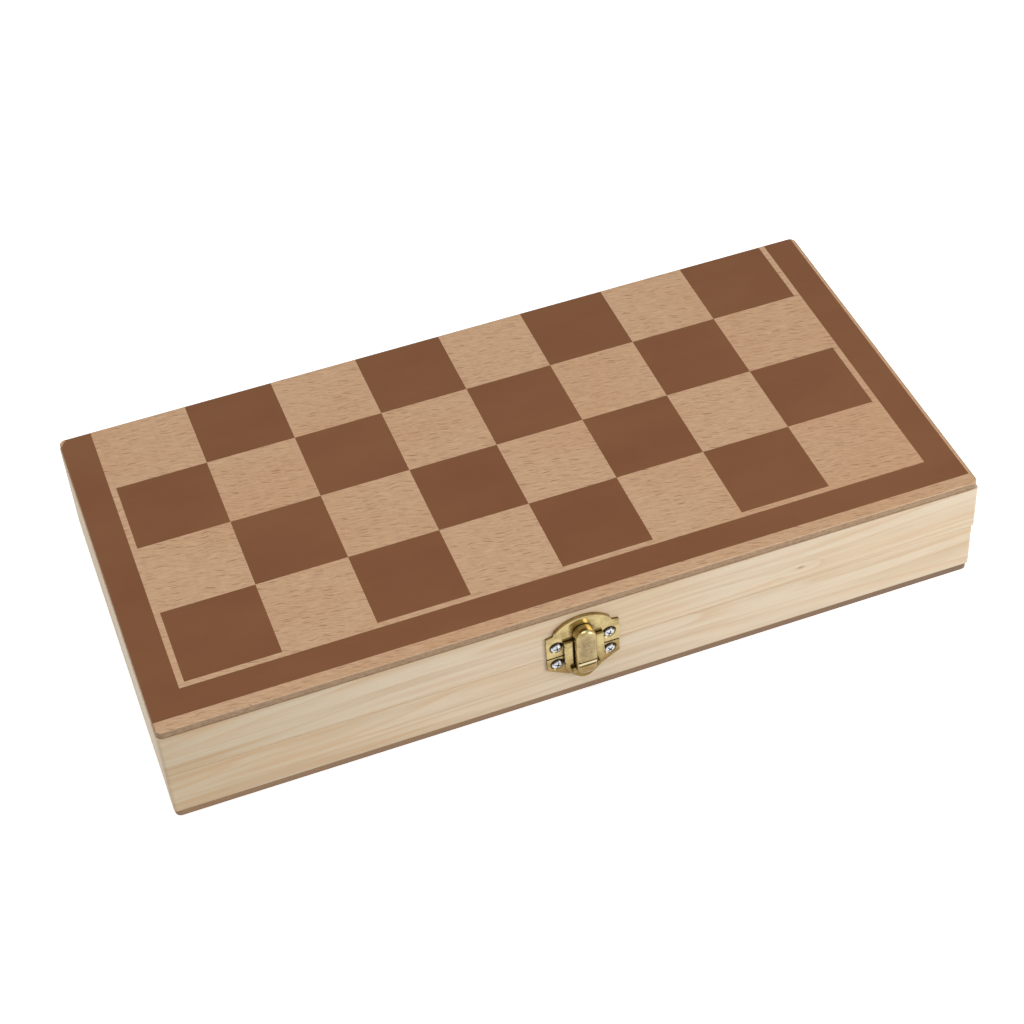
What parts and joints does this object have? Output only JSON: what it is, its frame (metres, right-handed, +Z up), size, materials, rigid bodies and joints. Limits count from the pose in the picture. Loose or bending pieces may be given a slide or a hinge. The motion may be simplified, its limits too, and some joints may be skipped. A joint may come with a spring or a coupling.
{
  "type": "folding chess set",
  "caption": "Folding wooden chess box: two hinged trays with a printed board outside, a brass front clasp and turned chessmen lying inside.",
  "frame": {"origin": "centre of the face that the closed box rests on", "axes": "+X along the long side, -Y the front with the clasp, +Y the hinges, +Z up"},
  "size_m": [0.2907, 0.1567, 0.042],
  "materials": {
    "pine": "sanded pine under thin satin lacquer",
    "printed_beech": "beech veneer with a dark brown printed board, satin lacquer",
    "fibreboard": "sawn brown board edge",
    "clasp_brass": "bright brass-plated pressed steel",
    "hinge_brass": "brass-plated steel",
    "pin_steel": "plain steel pin",
    "screw_nickel": "bright nickel-plated pan head",
    "light_men": "turned maple, satin lacquer",
    "dark_men": "turned maple stained dark brown, satin lacquer"
  },
  "bodies": {
    "tray": {"lower_front_rail": "pine", "lower_back_rail": "pine", "lower_left_rail": "pine", "lower_right_rail": "pine", "lower_core": "fibreboard", "lower_board_face": "printed_beech", "left_hinge_lower_leaf": "hinge_brass", "left_hinge_pin": "pin_steel", "right_hinge_lower_leaf": "hinge_brass", "right_hinge_pin": "pin_steel", "lower_hinge_screws": "hinge_brass", "latch_base_plate": "clasp_brass", "latch_yoke": "clasp_brass", "latch_pin": "pin_steel", "latch_base_screws": "screw_nickel", "light_king": "light_men", "dark_king": "dark_men", "light_queen": "light_men", "dark_queen": "dark_men", "light_bishops": "light_men", "dark_bishops": "dark_men", "light_knights": "light_men", "dark_knights": "dark_men", "light_rooks": "light_men", "dark_rooks": "dark_men", "light_pawns": "light_men", "dark_pawns": "dark_men"},
    "lid": {"upper_front_rail": "pine", "upper_back_rail": "pine", "upper_left_rail": "pine", "upper_right_rail": "pine", "upper_core": "fibreboard", "upper_board_face": "printed_beech", "left_hinge_upper_leaf": "hinge_brass", "right_hinge_upper_leaf": "hinge_brass", "upper_hinge_screws": "hinge_brass", "keeper_plate": "clasp_brass", "keeper_screws": "screw_nickel"},
    "lever": {"latch_lever": "clasp_brass"}
  },
  "joints": [
    {"name": "lid_hinge", "type": "hinge", "parent": "tray", "child": "lid", "pos_m": [0, 0.0749, 0.021], "axis": [-1, 0, 0], "range_deg": [0, 180]},
    {"name": "latch_hinge", "type": "hinge", "parent": "tray", "child": "lever", "pos_m": [-0.001, -0.07785, 0.015], "axis": [1, 0, 0], "range_deg": [0, 110]}
  ]
}
